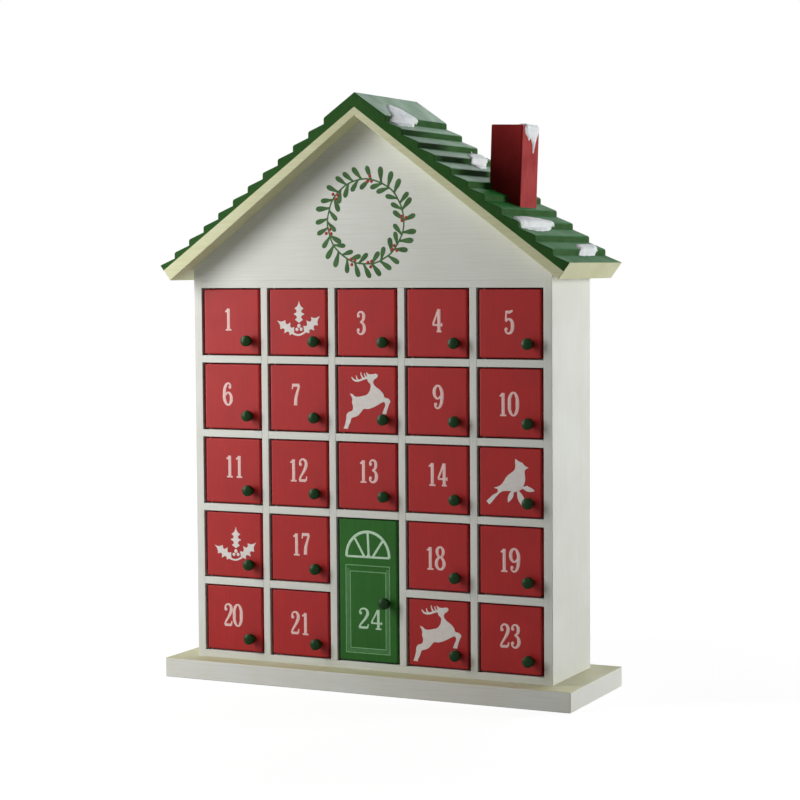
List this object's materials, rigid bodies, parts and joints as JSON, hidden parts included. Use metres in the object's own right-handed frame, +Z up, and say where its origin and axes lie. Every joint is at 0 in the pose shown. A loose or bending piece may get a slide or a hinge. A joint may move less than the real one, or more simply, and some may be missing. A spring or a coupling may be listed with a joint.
{
  "type": "wooden advent calendar",
  "caption": "House-shaped wooden advent calendar with numbered hinged doors over small compartments, a stepped gable roof, a chimney and a flat base.",
  "frame": {"origin": "centre of the base board's underside", "axes": "+X to the house's right as seen from the front, -Y out of the doors, +Z up"},
  "size_m": [0.303, 0.097, 0.4003],
  "materials": {
    "white_paint": "brushed off-white paint, satin, with faint grain",
    "roof_green": "satin green paint on top, cream paint on the underside and lower edges",
    "brick_red": "satin dark red paint with a drip of white",
    "door_red": "satin red paint with white figures",
    "door_green": "satin green paint with white lines",
    "knob_green": "glossy dark green paint",
    "steel_pin": "plain drawn wire"
  },
  "bodies": {
    "house": {"base_board": "white_paint", "side_left": "white_paint", "side_right": "white_paint", "back_panel": "white_paint", "gable_front": "white_paint", "shelves": "white_paint", "dividers": "white_paint", "door_stops": "white_paint", "hinge_pins": "steel_pin", "roof_left": "roof_green", "roof_right": "roof_green", "chimney": "brick_red"},
    "leaf_01": {"door_01": "door_red", "knob_01": "knob_green"},
    "leaf_02": {"door_02": "door_red", "knob_02": "knob_green"},
    "leaf_03": {"door_03": "door_red", "knob_03": "knob_green"},
    "leaf_04": {"door_04": "door_red", "knob_04": "knob_green"},
    "leaf_05": {"door_05": "door_red", "knob_05": "knob_green"},
    "leaf_06": {"door_06": "door_red", "knob_06": "knob_green"},
    "leaf_07": {"door_07": "door_red", "knob_07": "knob_green"},
    "leaf_08": {"door_08": "door_red", "knob_08": "knob_green"},
    "leaf_09": {"door_09": "door_red", "knob_09": "knob_green"},
    "leaf_10": {"door_10": "door_red", "knob_10": "knob_green"},
    "leaf_11": {"door_11": "door_red", "knob_11": "knob_green"},
    "leaf_12": {"door_12": "door_red", "knob_12": "knob_green"},
    "leaf_13": {"door_13": "door_red", "knob_13": "knob_green"},
    "leaf_14": {"door_14": "door_red", "knob_14": "knob_green"},
    "leaf_15": {"door_15": "door_red", "knob_15": "knob_green"},
    "leaf_16": {"door_16": "door_red", "knob_16": "knob_green"},
    "leaf_17": {"door_17": "door_red", "knob_17": "knob_green"},
    "leaf_18": {"door_18": "door_red", "knob_18": "knob_green"},
    "leaf_19": {"door_19": "door_red", "knob_19": "knob_green"},
    "leaf_20": {"door_20": "door_red", "knob_20": "knob_green"},
    "leaf_21": {"door_21": "door_red", "knob_21": "knob_green"},
    "leaf_22": {"door_22": "door_red", "knob_22": "knob_green"},
    "leaf_23": {"door_23": "door_red", "knob_23": "knob_green"},
    "leaf_24": {"door_24": "door_green", "knob_24": "knob_green"}
  },
  "joints": [
    {"name": "hinge_01", "type": "hinge", "parent": "house", "child": "leaf_01", "pos_m": [-0.1234, -0.0295, 0.2482], "axis": [0, 0, -1], "range_deg": [0, 100]},
    {"name": "hinge_02", "type": "hinge", "parent": "house", "child": "leaf_02", "pos_m": [-0.0714, -0.0295, 0.2482], "axis": [0, 0, -1], "range_deg": [0, 100]},
    {"name": "hinge_03", "type": "hinge", "parent": "house", "child": "leaf_03", "pos_m": [-0.0194, -0.0295, 0.2482], "axis": [0, 0, -1], "range_deg": [0, 100]},
    {"name": "hinge_04", "type": "hinge", "parent": "house", "child": "leaf_04", "pos_m": [0.0326, -0.0295, 0.2482], "axis": [0, 0, -1], "range_deg": [0, 100]},
    {"name": "hinge_05", "type": "hinge", "parent": "house", "child": "leaf_05", "pos_m": [0.0846, -0.0295, 0.2482], "axis": [0, 0, -1], "range_deg": [0, 100]},
    {"name": "hinge_06", "type": "hinge", "parent": "house", "child": "leaf_06", "pos_m": [-0.1234, -0.0295, 0.1966], "axis": [0, 0, -1], "range_deg": [0, 100]},
    {"name": "hinge_07", "type": "hinge", "parent": "house", "child": "leaf_07", "pos_m": [-0.0714, -0.0295, 0.1966], "axis": [0, 0, -1], "range_deg": [0, 100]},
    {"name": "hinge_08", "type": "hinge", "parent": "house", "child": "leaf_08", "pos_m": [-0.0194, -0.0295, 0.1966], "axis": [0, 0, -1], "range_deg": [0, 100]},
    {"name": "hinge_09", "type": "hinge", "parent": "house", "child": "leaf_09", "pos_m": [0.0326, -0.0295, 0.1966], "axis": [0, 0, -1], "range_deg": [0, 100]},
    {"name": "hinge_10", "type": "hinge", "parent": "house", "child": "leaf_10", "pos_m": [0.0846, -0.0295, 0.1966], "axis": [0, 0, -1], "range_deg": [0, 100]},
    {"name": "hinge_11", "type": "hinge", "parent": "house", "child": "leaf_11", "pos_m": [-0.1234, -0.0295, 0.145], "axis": [0, 0, -1], "range_deg": [0, 100]},
    {"name": "hinge_12", "type": "hinge", "parent": "house", "child": "leaf_12", "pos_m": [-0.0714, -0.0295, 0.145], "axis": [0, 0, -1], "range_deg": [0, 100]},
    {"name": "hinge_13", "type": "hinge", "parent": "house", "child": "leaf_13", "pos_m": [-0.0194, -0.0295, 0.145], "axis": [0, 0, -1], "range_deg": [0, 100]},
    {"name": "hinge_14", "type": "hinge", "parent": "house", "child": "leaf_14", "pos_m": [0.0326, -0.0295, 0.145], "axis": [0, 0, -1], "range_deg": [0, 100]},
    {"name": "hinge_15", "type": "hinge", "parent": "house", "child": "leaf_15", "pos_m": [0.0846, -0.0295, 0.145], "axis": [0, 0, -1], "range_deg": [0, 100]},
    {"name": "hinge_16", "type": "hinge", "parent": "house", "child": "leaf_16", "pos_m": [-0.1234, -0.0295, 0.0934], "axis": [0, 0, -1], "range_deg": [0, 100]},
    {"name": "hinge_17", "type": "hinge", "parent": "house", "child": "leaf_17", "pos_m": [-0.0714, -0.0295, 0.0934], "axis": [0, 0, -1], "range_deg": [0, 100]},
    {"name": "hinge_18", "type": "hinge", "parent": "house", "child": "leaf_18", "pos_m": [0.0326, -0.0295, 0.0934], "axis": [0, 0, -1], "range_deg": [0, 100]},
    {"name": "hinge_19", "type": "hinge", "parent": "house", "child": "leaf_19", "pos_m": [0.0846, -0.0295, 0.0934], "axis": [0, 0, -1], "range_deg": [0, 100]},
    {"name": "hinge_20", "type": "hinge", "parent": "house", "child": "leaf_20", "pos_m": [-0.1234, -0.0295, 0.0418], "axis": [0, 0, -1], "range_deg": [0, 100]},
    {"name": "hinge_21", "type": "hinge", "parent": "house", "child": "leaf_21", "pos_m": [-0.0714, -0.0295, 0.0418], "axis": [0, 0, -1], "range_deg": [0, 100]},
    {"name": "hinge_22", "type": "hinge", "parent": "house", "child": "leaf_22", "pos_m": [0.0326, -0.0295, 0.0418], "axis": [0, 0, -1], "range_deg": [0, 100]},
    {"name": "hinge_23", "type": "hinge", "parent": "house", "child": "leaf_23", "pos_m": [0.0846, -0.0295, 0.0418], "axis": [0, 0, -1], "range_deg": [0, 100]},
    {"name": "hinge_24", "type": "hinge", "parent": "house", "child": "leaf_24", "pos_m": [-0.0194, -0.0295, 0.0676], "axis": [0, 0, -1], "range_deg": [0, 100]}
  ]
}
